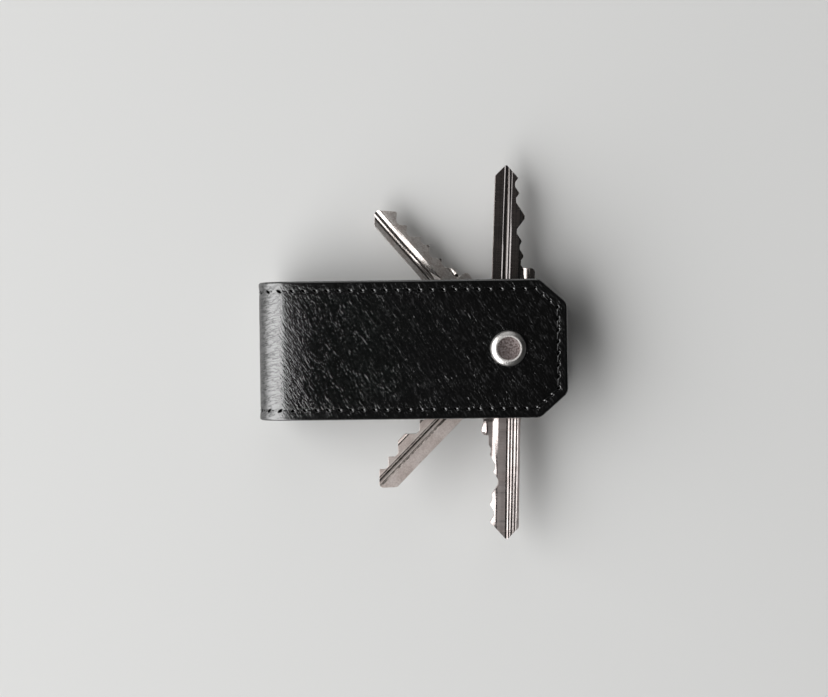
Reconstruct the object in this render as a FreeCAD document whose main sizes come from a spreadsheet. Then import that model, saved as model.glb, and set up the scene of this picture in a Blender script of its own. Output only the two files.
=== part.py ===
import FreeCAD, Part
import math
import os
import Sketcher

# A folded leather key case with four keys on one post.
# Frame: +Z up out of the front panel, +X from the fold to the free end, +Y up in the front view.
# The case lies on its back, on the head of the post's screw. The origin is in that plane, under the
# middle of the case's length and midway between the tips of the keys that point up and down. All
# lengths are in millimetres and all angles in degrees.

SIZES = {
    # Folded leather strip
    "case_length": 83.0,
    "case_width": 37.2,
    "cover_thickness": 1.3,
    "lining_thickness": 0.9,
    "corner_cut_length": 7.6,
    "corner_cut_width": 6.6,
    "corner_radius": 3.0,
    "edge_bevel": 0.4,
    "post_to_free_end": 15.9,
    # Seam round the strip
    "seam_margin": 2.67,
    "stitch_pitch": 3.12,
    "stitch_gap": 0.5,
    "thread_width": 0.65,
    "thread_height": 0.42,
    "channel_width": 0.9,
    "cover_channel_depth": 0.3,
    "lining_channel_depth": 0.2,
    # Post and screw
    "post_diameter": 6.0,
    "running_clearance": 0.1,
    "head_diameter": 9.5,
    "head_height": 2.0,
    "head_rim_height": 0.4,
    "head_shoulder_diameter": 7.5,
    "head_face_diameter": 6.3,
    "head_lip_diameter": 6.9,
    "head_lip_drop": 0.3,
    "head_face_recess": 0.2,
    "tightening_gap": 0.5,
    "screw_diameter": 4.0,
    "screw_clearance": 0.05,
    "screw_length": 9.0,
    "screw_end_chamfer": 0.5,
    "screw_head_diameter": 9.5,
    "screw_head_height": 1.4,
    "screw_head_chamfer": 0.5,
    "screw_slot_width": 1.2,
    "screw_slot_depth": 0.8,
    "bore_depth": 11.0,
    "bore_point": 1.2,
    # Washers
    "washer_diameter": 11.0,
    "washer_thickness": 0.6,
    "stack_play": 0.05,
    # What all keys share
    "key_thickness": 2.2,
    "blade_height": 8.4,
    "cut_pitch": 4.25,
    "cut_flat": 1.2,
    "groove_depth": 0.3,
    "groove_runout": 4.0,
    "shoulder_length": 3.4,
    "shoulder_corner": 1.4,
    "neck_corner": 1.0,
    # Each key: where it points, how far it reaches from the post, and its own bow, blade and cuts
    "key_up_angle": 87.4,
    "key_up_reach": 50.15,
    "key_up_blade_offset": -0.35,
    "key_up_tip_radius": 0.4,
    "key_up_stop": 22.2,
    "key_up_shoulder_width": 3.4,
    "key_up_bow_length": 24.0,
    "key_up_bow_width": 23.0,
    "key_up_bow_back": 7.0,
    "key_up_bow_radius": 8.0,
    "key_up_groove_end": 16.5,
    "key_up_first_cut": 5.35,
    "key_up_cut_1": 2.9,
    "key_up_cut_2": 2.5,
    "key_up_cut_4": 2.0,
    "key_up_cut_5": 1.1,
    "key_up_cut_6": 0.6,
    "key_down_angle": 268.4,
    "key_down_reach": 51.8,
    "key_down_blade_offset": 0.25,
    "key_down_tip_radius": 0.4,
    "key_down_stop": 23.6,
    "key_down_shoulder_width": 2.6,
    "key_down_bow_length": 25.0,
    "key_down_bow_width": 24.0,
    "key_down_bow_back": 7.0,
    "key_down_bow_radius": 11.8,
    "key_down_groove_end": 16.0,
    "key_down_first_cut": 7.05,
    "key_down_cut_1": 1.7,
    "key_down_cut_2": 1.25,
    "key_down_cut_3": 2.7,
    "key_down_cut_4": 1.85,
    "key_down_cut_5": 0.6,
    "key_up_left_angle": 131.0,
    "key_up_left_reach": 52.3,
    "key_up_left_blade_offset": -0.35,
    "key_up_left_tip_radius": 1.1,
    "key_up_left_stop": 23.1,
    "key_up_left_shoulder_width": 2.5,
    "key_up_left_bow_length": 24.5,
    "key_up_left_bow_width": 22.0,
    "key_up_left_bow_back": 7.2,
    "key_up_left_bow_radius": 5.0,
    "key_up_left_groove_end": 25.5,
    "key_up_left_first_cut": 6.9,
    "key_up_left_cut_1": 3.1,
    "key_up_left_cut_2": 3.1,
    "key_up_left_cut_3": 1.7,
    "key_up_left_cut_4": 2.4,
    "key_up_left_cut_5": 1.55,
    "key_down_left_angle": 225.4,
    "key_down_left_reach": 50.85,
    "key_down_left_blade_offset": -0.23,
    "key_down_left_tip_radius": 1.1,
    "key_down_left_stop": 22.0,
    "key_down_left_shoulder_width": 2.7,
    "key_down_left_bow_length": 23.5,
    "key_down_left_bow_width": 23.0,
    "key_down_left_bow_back": 6.8,
    "key_down_left_bow_radius": 10.0,
    "key_down_left_groove_end": 18.0,
    "key_down_left_first_cut": 5.25,
    "key_down_left_cut_1": 2.85,
    "key_down_left_cut_2": 2.4,
    "key_down_left_cut_4": 2.3,
    "key_down_left_cut_5": 1.35,
}

# The keys in the order they are threaded on the post, from the back panel to the front one.
KEYS = ["key_up_left", "key_up", "key_down", "key_down_left"]

# Where the point of each blade lies, as a share of the blade's height from its spine.
TIP_SHARES = {"key_up_left": 0.36, "key_up": 0.35, "key_down": 0.385, "key_down_left": 0.39}

# Length of the slopes at the blade's point and beside its cuts, as a share of their height.
TIP_SLOPE_SHARE = 1.05
CUT_SLOPE_SHARES = {"key_up_left": 1.0, "key_up": 1.4, "key_down": 1.65, "key_down_left": 1.0}

# Grooves milled along each face of a blade, in shares of its height from the spine: where the groove
# starts and ends at the face, how much of that its two side walls slope over, and its depth as a share of
# the groove depth. A groove that ends past the blade leaves a lower face along the cuts.
FRONT_GROOVE_SHARES = {
    "key_up_left": [
        (0.15, 0.282, 0.07, 0.056, 1.1),
        (0.29, 0.5, 0.068, 0.136, 2.0),
        (0.86, 1.2, 0.1, 0.0, 1.2),
    ],
    "key_up": [
        (0.27, 0.33, 0.026, 0.032, 0.62),
        (0.338, 0.495, 0.086, 0.065, 1.3),
        (0.503, 0.585, 0.024, 0.052, 1.0),
        (0.84, 1.2, 0.1, 0.0, 1.2),
    ],
    "key_down": [
        (0.07, 0.14, 0.045, 0.019, 1.0),
        (0.148, 0.252, 0.058, 0.04, 1.0),
        (0.26, 0.345, 0.047, 0.032, 1.0),
        (0.353, 0.45, 0.047, 0.044, 1.0),
        (0.71, 1.2, 0.17, 0.0, 2.5),
    ],
    "key_down_left": [
        (0.37, 0.58, 0.08, 0.06, 1.2),
        (0.6, 1.2, 0.035, 0.0, 0.5),
        (0.87, 1.2, 0.06, 0.0, 1.8),
    ],
}
BACK_GROOVE_SHARES = {
    "key_up_left": [(0.22, 0.5, 0.05, 0.05, 1.6), (0.68, 1.2, 0.1, 0.0, 1.6)],
    "key_up": [(0.16, 0.3, 0.05, 0.02, 1.6), (0.6, 0.78, 0.05, 0.05, 1.6)],
    "key_down": [(0.2, 0.42, 0.05, 0.05, 1.6), (0.56, 0.7, 0.03, 0.06, 1.6)],
    "key_down_left": [(0.14, 0.34, 0.05, 0.05, 1.6), (0.48, 0.66, 0.05, 0.05, 1.6)],
}

# How far the bow end of each shoulder, and the neck of all keys, stand out past the blade, as shares of
# the shoulder's width.
SHOULDER_END_SHARES = {"key_up_left": 0.75, "key_up": 0.95, "key_down": 0.6, "key_down_left": 0.85}
NECK_SHARE = 0.8

# A stitch's section, flat underneath: across the seam and out of the leather, in shares of the thread's
# width and height.
STITCH_SHARES = [(-0.5, 0), (-0.32, 1), (0.32, 1), (0.5, 0)]

# How nearly a place or a direction has to match where edges are picked out by how they lie.
MATCH_SHARE = 0.01

doc = FreeCAD.newDocument("key_case")
dims = doc.addObject("Spreadsheet::Sheet", "dims")
for row, (name, value) in enumerate(SIZES.items(), start=1):
    dims.set(f"A{row}", name)
    dims.set(f"B{row}", str(value))
    dims.setAlias(f"B{row}", name)
doc.recompute()

# Heights and places that several pieces share, as expressions in the sheet's sizes.
KEY_PITCH = "(dims.key_thickness + 2 * dims.stack_play + dims.washer_thickness)"
GAP = f"({len(KEYS)} * {KEY_PITCH} + dims.washer_thickness)"
INNER_RADIUS = f"({GAP} / 2)"
SEAM_RADIUS = f"({INNER_RADIUS} + dims.lining_thickness)"
OUTER_RADIUS = f"({SEAM_RADIUS} + dims.cover_thickness)"
PANEL_LENGTH = f"(dims.case_length - {OUTER_RADIUS})"
POST_PLACE = f"({PANEL_LENGTH} - dims.post_to_free_end)"
FOLD_X = f"({OUTER_RADIUS} - dims.case_length / 2)"
FOLD_Z = f"(dims.screw_head_height + {OUTER_RADIUS})"
POST_X = "(dims.case_length / 2 - dims.post_to_free_end)"
MIDDLE_Y = "((dims.key_down_reach - dims.key_up_reach) / 2)"
STACK_Z = f"({FOLD_Z} - {INNER_RADIUS})"
HOLE_RADIUS = "(dims.post_diameter / 2 + dims.running_clearance)"
HALF_WIDTH = "(dims.case_width / 2)"


def number(expression):
    """The present value of an expression in the sheet's sizes."""
    value = dims.evalExpression(expression)
    return float(getattr(value, "Value", value))


def place(piece, x, y, z):
    """Put a piece at a point given as expressions."""
    for axis, expression in zip("xyz", (x, y, z)):
        piece.setExpression(f"Placement.Base.{axis}", expression)


def new_body(name):
    """An empty body that makes one sub-part."""
    body = doc.addObject("PartDesign::Body", name)
    body.Label = name
    return body


def new_sketch(body, name, role, lift="0"):
    """A sketch on one of the body's own planes, lifted along the plane's normal."""
    sketch = body.newObject("Sketcher::SketchObject", f"{body.Name}_{name}")
    plane = next(feature for feature in body.Origin.OriginFeatures if feature.Role == role)
    sketch.AttachmentSupport = [(plane, "")]
    sketch.MapMode = "FlatFace"
    sketch.setExpression("AttachmentOffset.Base.z", lift)
    return sketch


def bind(sketch, kind, element, point, expression):
    """Tie one coordinate of a sketch point to an expression."""
    index = sketch.addConstraint(Sketcher.Constraint(kind, -1, 1, element, point, number(expression)))
    sketch.setExpression(f"Constraints[{index}]", expression)


def draw_outline(sketch, corners):
    """A closed outline of straight lines through corners whose coordinates are expressions."""
    first = sketch.GeometryCount
    count = len(corners)
    points = [FreeCAD.Vector(number(x), number(y), 0) for x, y in corners]
    for i in range(count):
        sketch.addGeometry(Part.LineSegment(points[i], points[(i + 1) % count]))
    for i, (x, y) in enumerate(corners):
        after = (i + 1) % count
        sketch.addConstraint(Sketcher.Constraint("Coincident", first + i, 2, first + after, 1))
        bind(sketch, "DistanceX", first + i, 1, x)
        bind(sketch, "DistanceY", first + i, 1, y)


def draw_circle(sketch, x, y, radius):
    """A circle whose centre and radius are expressions."""
    centre = FreeCAD.Vector(number(x), number(y), 0)
    up = FreeCAD.Vector(0, 0, 1)
    circle = sketch.addGeometry(Part.Circle(centre, up, number(radius)))
    index = sketch.addConstraint(Sketcher.Constraint("Radius", circle, number(radius)))
    sketch.setExpression(f"Constraints[{index}]", radius)
    bind(sketch, "DistanceX", circle, 3, x)
    bind(sketch, "DistanceY", circle, 3, y)


def pad(body, sketch, length):
    """Thicken a sketch to both sides of its plane."""
    feature = body.newObject("PartDesign::Pad", f"{sketch.Name}_pad")
    feature.Profile = sketch
    feature.SideType = "Symmetric"
    feature.setExpression("Length", length)
    return feature


def cut_through(body, sketch):
    """Cut a sketch right through the body, to both sides of its plane."""
    feature = body.newObject("PartDesign::Pocket", f"{sketch.Name}_cut")
    feature.Profile = sketch
    feature.SideType = "Symmetric"
    feature.Type = "ThroughAll"
    return feature


def sink(body, sketch, depth, upward=False):
    """Sink a sketch into the body, below its plane or above it."""
    feature = body.newObject("PartDesign::Pocket", f"{sketch.Name}_sink")
    feature.Profile = sketch
    feature.Reversed = upward
    feature.setExpression("Length", depth)
    return feature


def turn(body, sketch):
    """Turn a sketch a full turn about its vertical axis."""
    feature = body.newObject("PartDesign::Revolution", f"{sketch.Name}_turn")
    feature.Profile = sketch
    feature.ReferenceAxis = (sketch, ["V_Axis"])
    feature.Angle = 360
    return feature


def pick_edges(base, wanted):
    """A feature, with the names of those of its edges that a test picks out."""
    doc.recompute()
    return base, [f"Edge{i}" for i, edge in enumerate(base.Shape.Edges, start=1) if wanted(edge)]


def round_edges(body, base, name, radius, wanted):
    """Round those edges of a feature that a test picks out."""
    edges = pick_edges(base, wanted)
    feature = body.newObject("PartDesign::Fillet", f"{body.Name}_{name}")
    feature.Base = edges
    feature.setExpression("Radius", radius)
    return feature


def bevel_edges(body, base, name, size, wanted):
    """Bevel those edges of a feature that a test picks out."""
    edges = pick_edges(base, wanted)
    feature = body.newObject("PartDesign::Chamfer", f"{body.Name}_{name}")
    feature.Base = edges
    feature.setExpression("Size", size)
    return feature


def is_at(value, place_expression):
    """Whether a coordinate matches a place given as an expression."""
    target = number(place_expression)
    return abs(value - target) < MATCH_SHARE * abs(target)


def stands_up(edge):
    """Whether an edge is a straight line along Z."""
    first, last = edge.Vertexes[0].Point, edge.Vertexes[-1].Point
    return isinstance(edge.Curve, Part.Line) and abs(last.z - first.z) > (1 - MATCH_SHARE) * edge.Length


# The folded strips are drawn about the fold's axis: the origin is on that axis, the panels run along +X.


def draw_folded_strip(sketch, outer, inner):
    """The strip seen along its fold: two straight panels joined by a half round."""
    length, far, near = number(PANEL_LENGTH), number(outer), number(inner)
    up = FreeCAD.Vector(0, 0, 1)

    def point(x, y):
        return FreeCAD.Vector(x, y, 0)

    def panel_line(a, b):
        return sketch.addGeometry(Part.LineSegment(a, b))

    def fold_arc(radius):
        circle = Part.Circle(point(0, 0), up, radius)
        return sketch.addGeometry(Part.ArcOfCircle(circle, math.pi / 2, 3 * math.pi / 2))

    front_face = panel_line(point(0, far), point(length, far))
    front_end = panel_line(point(length, far), point(length, near))
    front_inside = panel_line(point(length, near), point(0, near))
    inner_fold = fold_arc(near)
    back_inside = panel_line(point(0, -near), point(length, -near))
    back_end = panel_line(point(length, -near), point(length, -far))
    back_face = panel_line(point(length, -far), point(0, -far))
    outer_fold = fold_arc(far)
    joints = [
        (front_face, 1, outer_fold, 1),
        (front_face, 2, front_end, 1),
        (front_end, 2, front_inside, 1),
        (front_inside, 2, inner_fold, 1),
        (inner_fold, 2, back_inside, 1),
        (back_inside, 2, back_end, 1),
        (back_end, 2, back_face, 1),
        (back_face, 2, outer_fold, 2),
    ]
    for joint in joints:
        sketch.addConstraint(Sketcher.Constraint("Coincident", *joint))
    for line in (front_face, front_inside, back_inside, back_face):
        sketch.addConstraint(Sketcher.Constraint("Horizontal", line))
    for line in (front_end, back_end):
        sketch.addConstraint(Sketcher.Constraint("Vertical", line))
        bind(sketch, "DistanceX", line, 1, PANEL_LENGTH)
    for arc, radius in ((inner_fold, inner), (outer_fold, outer)):
        sketch.addConstraint(Sketcher.Constraint("Coincident", arc, 3, -1, 1))
        sketch.addConstraint(Sketcher.Constraint("PointOnObject", arc, 1, -2))
        sketch.addConstraint(Sketcher.Constraint("PointOnObject", arc, 2, -2))
        index = sketch.addConstraint(Sketcher.Constraint("Radius", arc, number(radius)))
        sketch.setExpression(f"Constraints[{index}]", radius)


CUT_SLANT = "hypot(dims.corner_cut_length; dims.corner_cut_width)"


def end_corners(inset):
    """The corners of the free end, on the +Y side, of the strip's outline moved in by an inset."""
    side = f"({HALF_WIDTH} - ({inset}))"
    end = f"({PANEL_LENGTH} - ({inset}))"
    start = f"({PANEL_LENGTH} - dims.corner_cut_length"
    start += f" - ({inset}) * ({CUT_SLANT} - dims.corner_cut_length) / dims.corner_cut_width)"
    stop = f"({HALF_WIDTH} - dims.corner_cut_width"
    stop += f" - ({inset}) * ({CUT_SLANT} - dims.corner_cut_width) / dims.corner_cut_length)"
    return [(start, side), (end, stop)]


def seam_line(inset):
    """The line that the strip's outline makes when moved in, from the fold round the end and back."""
    upper = [("0", f"({HALF_WIDTH} - ({inset}))")] + end_corners(inset)
    lower = [(x, f"-{y}") for x, y in reversed(upper)]
    return upper + lower


def make_folded_strip(name, outer, inner, channel_depth, outside):
    """One layer of the case: a folded strip with slanted end corners, post holes and a seam channel."""
    body = new_body(name)
    channel_radius = outer if outside else inner
    side_view = new_sketch(body, "side_view", "XZ_Plane")
    draw_folded_strip(side_view, outer, inner)
    pad(body, side_view, "dims.case_width")

    corners = new_sketch(body, "corners", "XY_Plane")
    slant_start = f"({PANEL_LENGTH} - 2 * dims.corner_cut_length)"
    past_end = f"({PANEL_LENGTH} + dims.corner_cut_length)"
    for side in ("", "-"):
        past_side = f"{side}({HALF_WIDTH} + dims.corner_cut_width)"
        slant_end = f"{side}({HALF_WIDTH} - 2 * dims.corner_cut_width)"
        draw_outline(corners, [(slant_start, past_side), (past_end, slant_end), (past_end, past_side)])
    trimmed = cut_through(body, corners)

    rounded = round_edges(body, trimmed, "round_corners", "dims.corner_radius", stands_up)
    if outside:
        bevel_edges(body, rounded, "rim_bevel", "dims.edge_bevel", lies_on_rim)

    hole = new_sketch(body, "post_hole", "XY_Plane")
    draw_circle(hole, POST_PLACE, "0", HOLE_RADIUS)
    cut_through(body, hole)

    near_edge = "dims.seam_margin - dims.channel_width / 2"
    far_edge = "dims.seam_margin + dims.channel_width / 2"
    band = seam_line(near_edge) + seam_line(far_edge)[::-1]
    for panel, sign in (("front", ""), ("back", "-")):
        channel = new_sketch(body, f"{panel}_channel", "XY_Plane", f"{sign}{channel_radius}")
        draw_outline(channel, band)
        sink(body, channel, channel_depth, upward=(panel == "front") != outside)

    floor = f"({channel_radius} - {channel_depth})" if outside else f"({channel_radius} + {channel_depth})"
    clear = f"({channel_radius} + {channel_depth})" if outside else f"({channel_radius} - {channel_depth})"
    fold_channel = new_sketch(body, "fold_channel", "XY_Plane")
    for side in ("", "-"):
        draw_outline(fold_channel, [
            (f"-{floor}", f"{side}({HALF_WIDTH} - ({near_edge}))"),
            (f"-{clear}", f"{side}({HALF_WIDTH} - ({near_edge}))"),
            (f"-{clear}", f"{side}({HALF_WIDTH} - ({far_edge}))"),
            (f"-{floor}", f"{side}({HALF_WIDTH} - ({far_edge}))"),
        ])
    groove = body.newObject("PartDesign::Groove", f"{name}_fold_groove")
    groove.Profile = fold_channel
    groove.ReferenceAxis = (fold_channel, ["V_Axis"])
    groove.Midplane = True
    groove.Angle = 180
    place(body, FOLD_X, MIDDLE_Y, FOLD_Z)
    return body


def lies_on_rim(edge):
    """Whether an edge bounds the outer face of the cover, and isn't a line where fold and panel meet."""
    middle = edge.valueAt((edge.FirstParameter + edge.LastParameter) / 2)
    height = abs(middle.z) if middle.x > 0 else math.hypot(middle.x, middle.z)
    slack = MATCH_SHARE * number(OUTER_RADIUS)
    across_fold = abs(middle.x) < slack and abs(middle.y) < slack
    return is_at(height, OUTER_RADIUS) and not across_fold


def stitch(start, end, out):
    """A straight stitch from one point to another, with its back towards the out direction."""
    along = end - start
    across = out.cross(along).normalize() * number("dims.thread_width")
    rise = out * number("dims.thread_height")
    section = [start + across * a + rise * h for a, h in STITCH_SHARES]
    return Part.Face(Part.makePolygon(section + section[:1])).extrude(along)


def run_stitches(start, end, out):
    """The stitches along a straight run of the seam."""
    run = end - start
    count = round(run.Length / number("dims.stitch_pitch"))
    inset = number("dims.stitch_gap") / 2 / run.Length
    ends = [(i / count + inset, (i + 1) / count - inset) for i in range(count)]
    return [stitch(start + run * first, start + run * last, out) for first, last in ends]


def fold_point(radius, side, angle):
    """A point round the fold, at an angle counted from the front panel."""
    return FreeCAD.Vector(-radius * math.sin(angle), side, radius * math.cos(angle))


def fold_stitches(radius, side, out):
    """The stitches round the fold at one edge, where the leather's face is at a radius from its axis."""
    count = round(math.pi * radius / number("dims.stitch_pitch"))
    half_turn = math.pi / count / 2 - number("dims.stitch_gap") / 2 / radius
    reach = radius / math.cos(half_turn) if out > 0 else radius
    stitches = []
    for i in range(count):
        middle = math.pi * (i + 0.5) / count
        start = fold_point(reach, side, middle - half_turn)
        end = fold_point(reach, side, middle + half_turn)
        stitches.append(stitch(start, end, fold_point(out, 0, middle)))
    return stitches


def make_thread(name, radius_expression, out):
    """The stitches of one thread of the seam: round both panels and round the fold at both edges."""
    radius = number(radius_expression)
    line = [(number(x), number(y)) for x, y in seam_line("dims.seam_margin")]
    stitches = []
    for level in (radius, -radius):
        points = [FreeCAD.Vector(x, y, level) for x, y in line]
        outward = FreeCAD.Vector(0, 0, math.copysign(out, level * out))
        for start, end in zip(points, points[1:]):
            stitches += run_stitches(start, end, outward)
    for side in (line[0][1], line[-1][1]):
        stitches += fold_stitches(radius, side, out)
    thread = doc.addObject("Part::Feature", name)
    thread.Label = name
    thread.Shape = Part.makeCompound(stitches)
    place(thread, FOLD_X, MIDDLE_Y, FOLD_Z)
    return thread


def make_post_barrel():
    """The post's hollow half, drawn from the front panel's face: head above it, barrel below it."""
    body = new_body("post_barrel")
    half = new_sketch(body, "half_section", "XZ_Plane")
    end = f"-(2 * {OUTER_RADIUS} - dims.tightening_gap)"
    draw_outline(half, [
        ("0", "dims.head_height - dims.head_face_recess"),
        ("dims.head_face_diameter / 2", "dims.head_height - dims.head_face_recess"),
        ("dims.head_lip_diameter / 2", "dims.head_height"),
        ("dims.head_shoulder_diameter / 2", "dims.head_height - dims.head_lip_drop"),
        ("dims.head_diameter / 2", "dims.head_rim_height"),
        ("dims.head_diameter / 2", "0"),
        ("dims.post_diameter / 2", "0"),
        ("dims.post_diameter / 2", end),
        ("dims.screw_diameter / 2 + dims.screw_clearance", end),
        ("dims.screw_diameter / 2 + dims.screw_clearance", f"{end} + dims.bore_depth"),
        ("0", f"{end} + dims.bore_depth + dims.bore_point"),
    ])
    turn(body, half)
    place(body, POST_X, MIDDLE_Y, f"{FOLD_Z} + {OUTER_RADIUS}")
    return body


def make_post_screw():
    """The post's screw, drawn from the back panel's face: its shank stands up, its head hangs down."""
    body = new_body("post_screw")
    half = new_sketch(body, "half_section", "XZ_Plane")
    draw_outline(half, [
        ("0", "-dims.screw_head_height"),
        ("dims.screw_head_diameter / 2 - dims.screw_head_chamfer", "-dims.screw_head_height"),
        ("dims.screw_head_diameter / 2", "dims.screw_head_chamfer - dims.screw_head_height"),
        ("dims.screw_head_diameter / 2", "0"),
        ("dims.screw_diameter / 2", "0"),
        ("dims.screw_diameter / 2", "dims.screw_length - dims.screw_end_chamfer"),
        ("dims.screw_diameter / 2 - dims.screw_end_chamfer", "dims.screw_length"),
        ("0", "dims.screw_length"),
    ])
    turn(body, half)
    slot = new_sketch(body, "slot", "XY_Plane", "-dims.screw_head_height")
    draw_outline(slot, [
        ("-dims.screw_head_diameter", "-dims.screw_slot_width / 2"),
        ("dims.screw_head_diameter", "-dims.screw_slot_width / 2"),
        ("dims.screw_head_diameter", "dims.screw_slot_width / 2"),
        ("-dims.screw_head_diameter", "dims.screw_slot_width / 2"),
    ])
    sink(body, slot, "dims.screw_slot_depth", upward=True)
    place(body, POST_X, MIDDLE_Y, "dims.screw_head_height")
    return body


def make_washer(index):
    """One washer of the stack, counted from the back panel."""
    name = f"washer_{index + 1}"
    ring = doc.addObject("Part::Cylinder", f"{name}_ring")
    ring.setExpression("Radius", "dims.washer_diameter / 2")
    bore = doc.addObject("Part::Cylinder", f"{name}_bore")
    bore.setExpression("Radius", HOLE_RADIUS)
    for cylinder in (ring, bore):
        cylinder.setExpression("Height", "dims.washer_thickness")
    washer = doc.addObject("Part::Cut", name)
    washer.Base = ring
    washer.Tool = bore
    washer.Label = name
    place(washer, POST_X, MIDDLE_Y, f"{STACK_Z} + {index} * {KEY_PITCH}")
    return washer


class KeyPlan:
    """Where the features of one key lie, as expressions.

    The hole is at the origin and the blade points along +X, with its spine on the +Y side and its cuts on
    the -Y side.
    """

    def __init__(self, name):
        own = f"dims.{name}_"
        self.name = name
        self.own = own
        self.reach = f"{own}reach"
        self.spine = f"(dims.blade_height / 2 - {own}blade_offset)"
        self.edge = f"({self.spine} - dims.blade_height)"
        self.bow_side = f"({own}bow_width / 2)"
        self.bow_front = f"({own}bow_length - {own}bow_back)"
        self.bow_middle = f"({own}bow_length / 2 - {own}bow_back)"
        self.stop = f"{own}stop"
        self.shoulder_start = f"({own}stop - dims.shoulder_length)"


def add_bow(body, plan):
    """The part of a key that the fingers hold."""
    bow = new_sketch(body, "bow", "XY_Plane")
    back = f"-{plan.own}bow_back"
    draw_outline(bow, [
        (back, f"-{plan.bow_side}"),
        (plan.bow_front, f"-{plan.bow_side}"),
        (plan.bow_front, plan.bow_side),
        (back, plan.bow_side),
    ])
    bow_pad = pad(body, bow, "dims.key_thickness")
    round_edges(body, bow_pad, "bow_corners", f"{plan.own}bow_radius", stands_up)


def add_shoulder(body, plan):
    """The neck of a key and the shoulder that stops it at the lock's face."""
    width = f"{plan.own}shoulder_width"
    shoulder = new_sketch(body, "shoulder", "XY_Plane")
    draw_outline(shoulder, [
        (plan.bow_middle, f"{plan.spine} + {NECK_SHARE} * {width}"),
        (plan.shoulder_start, plan.spine),
        (plan.stop, plan.spine),
        (plan.stop, f"{plan.edge} - {width}"),
        (plan.shoulder_start, f"{plan.edge} - {SHOULDER_END_SHARES[plan.name]} * {width}"),
        (plan.bow_middle, f"{plan.edge} - {NECK_SHARE} * {width}"),
    ])
    shoulder_pad = pad(body, shoulder, "dims.key_thickness")

    def is_neck_corner(line):
        x, y = line.Vertexes[0].X, line.Vertexes[0].Y
        beside_blade = y > number(plan.spine) or y < number(plan.edge)
        in_neck = number(plan.bow_middle) < x < (1 - MATCH_SHARE) * number(plan.shoulder_start)
        return stands_up(line) and in_neck and beside_blade and not is_at(abs(y), plan.bow_side)

    def is_stop_corner(line):
        x, y = line.Vertexes[0].X, line.Vertexes[0].Y
        return stands_up(line) and is_at(x, plan.stop) and y < number(plan.edge)

    necked = round_edges(body, shoulder_pad, "neck_corners", "dims.neck_corner", is_neck_corner)
    round_edges(body, necked, "stop_corner", "dims.shoulder_corner", is_stop_corner)


def add_blade(body, plan):
    """The plain blade of a key, with its point."""
    tip_share = TIP_SHARES[plan.name]
    spine_slope_share = tip_share * TIP_SLOPE_SHARE
    edge_slope_share = (1 - tip_share) * TIP_SLOPE_SHARE
    blade = new_sketch(body, "blade", "XY_Plane")
    draw_outline(blade, [
        (plan.bow_middle, plan.spine),
        (f"{plan.reach} - {spine_slope_share} * dims.blade_height", plan.spine),
        (plan.reach, f"{plan.spine} - {tip_share} * dims.blade_height"),
        (f"{plan.reach} - {edge_slope_share} * dims.blade_height", plan.edge),
        (plan.bow_middle, plan.edge),
    ])
    blade_pad = pad(body, blade, "dims.key_thickness")

    def is_tip(line):
        return stands_up(line) and is_at(line.Vertexes[0].X, plan.reach)

    round_edges(body, blade_pad, "tip_round", f"{plan.own}tip_radius", is_tip)


def cut_bitting(body, plan):
    """The cuts that lift the lock's pins: flat at the bottom, with sloping sides."""
    slope_share = CUT_SLOPE_SHARES[plan.name]
    for size in SIZES:
        if not size.startswith(f"{plan.name}_cut_"):
            continue
        position = int(size.rsplit("_", 1)[1])
        middle = f"({plan.reach} - {plan.own}first_cut - {position - 1} * dims.cut_pitch)"
        slope = f"({slope_share} * 2 * dims.{size})"
        cut = new_sketch(body, f"cut_{position}", "XY_Plane")
        draw_outline(cut, [
            (f"{middle} - dims.cut_flat / 2", f"{plan.edge} + dims.{size}"),
            (f"{middle} + dims.cut_flat / 2", f"{plan.edge} + dims.{size}"),
            (f"{middle} + dims.cut_flat / 2 + {slope}", f"{plan.edge} - dims.{size}"),
            (f"{middle} - dims.cut_flat / 2 - {slope}", f"{plan.edge} - dims.{size}"),
        ])
        cut_through(body, cut)


def draw_groove_level(sketch, plan, near_end, top_share, bottom_share):
    """A groove's outline at one depth, from where it runs out to past the point of the blade."""
    past_tip = f"{plan.reach} + dims.groove_runout"
    top = f"{plan.spine} - {top_share} * dims.blade_height"
    bottom = f"{plan.spine} - {bottom_share} * dims.blade_height"
    draw_outline(sketch, [(near_end, top), (past_tip, top), (past_tip, bottom), (near_end, bottom)])


def mill_groove(body, plan, label, sign, shares):
    """One groove along a face of the blade, with sloping walls and a sloping run-out."""
    start, stop, start_wall, stop_wall, depth_share = shares
    near_end = f"{plan.own}groove_end"
    depth = f"{depth_share} * dims.groove_depth"
    mouth = new_sketch(body, f"{label}_mouth", "XY_Plane", f"{sign}dims.key_thickness / 2")
    bed = new_sketch(body, f"{label}_bed", "XY_Plane", f"{sign}(dims.key_thickness / 2 - {depth})")
    draw_groove_level(mouth, plan, near_end, start, stop)
    draw_groove_level(bed, plan, f"{near_end} + dims.groove_runout", start + start_wall, stop - stop_wall)
    groove = body.newObject("PartDesign::SubtractiveLoft", f"{body.Name}_{label}")
    groove.Profile = mouth
    groove.Sections = [(bed, [""])]
    groove.Ruled = True


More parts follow.
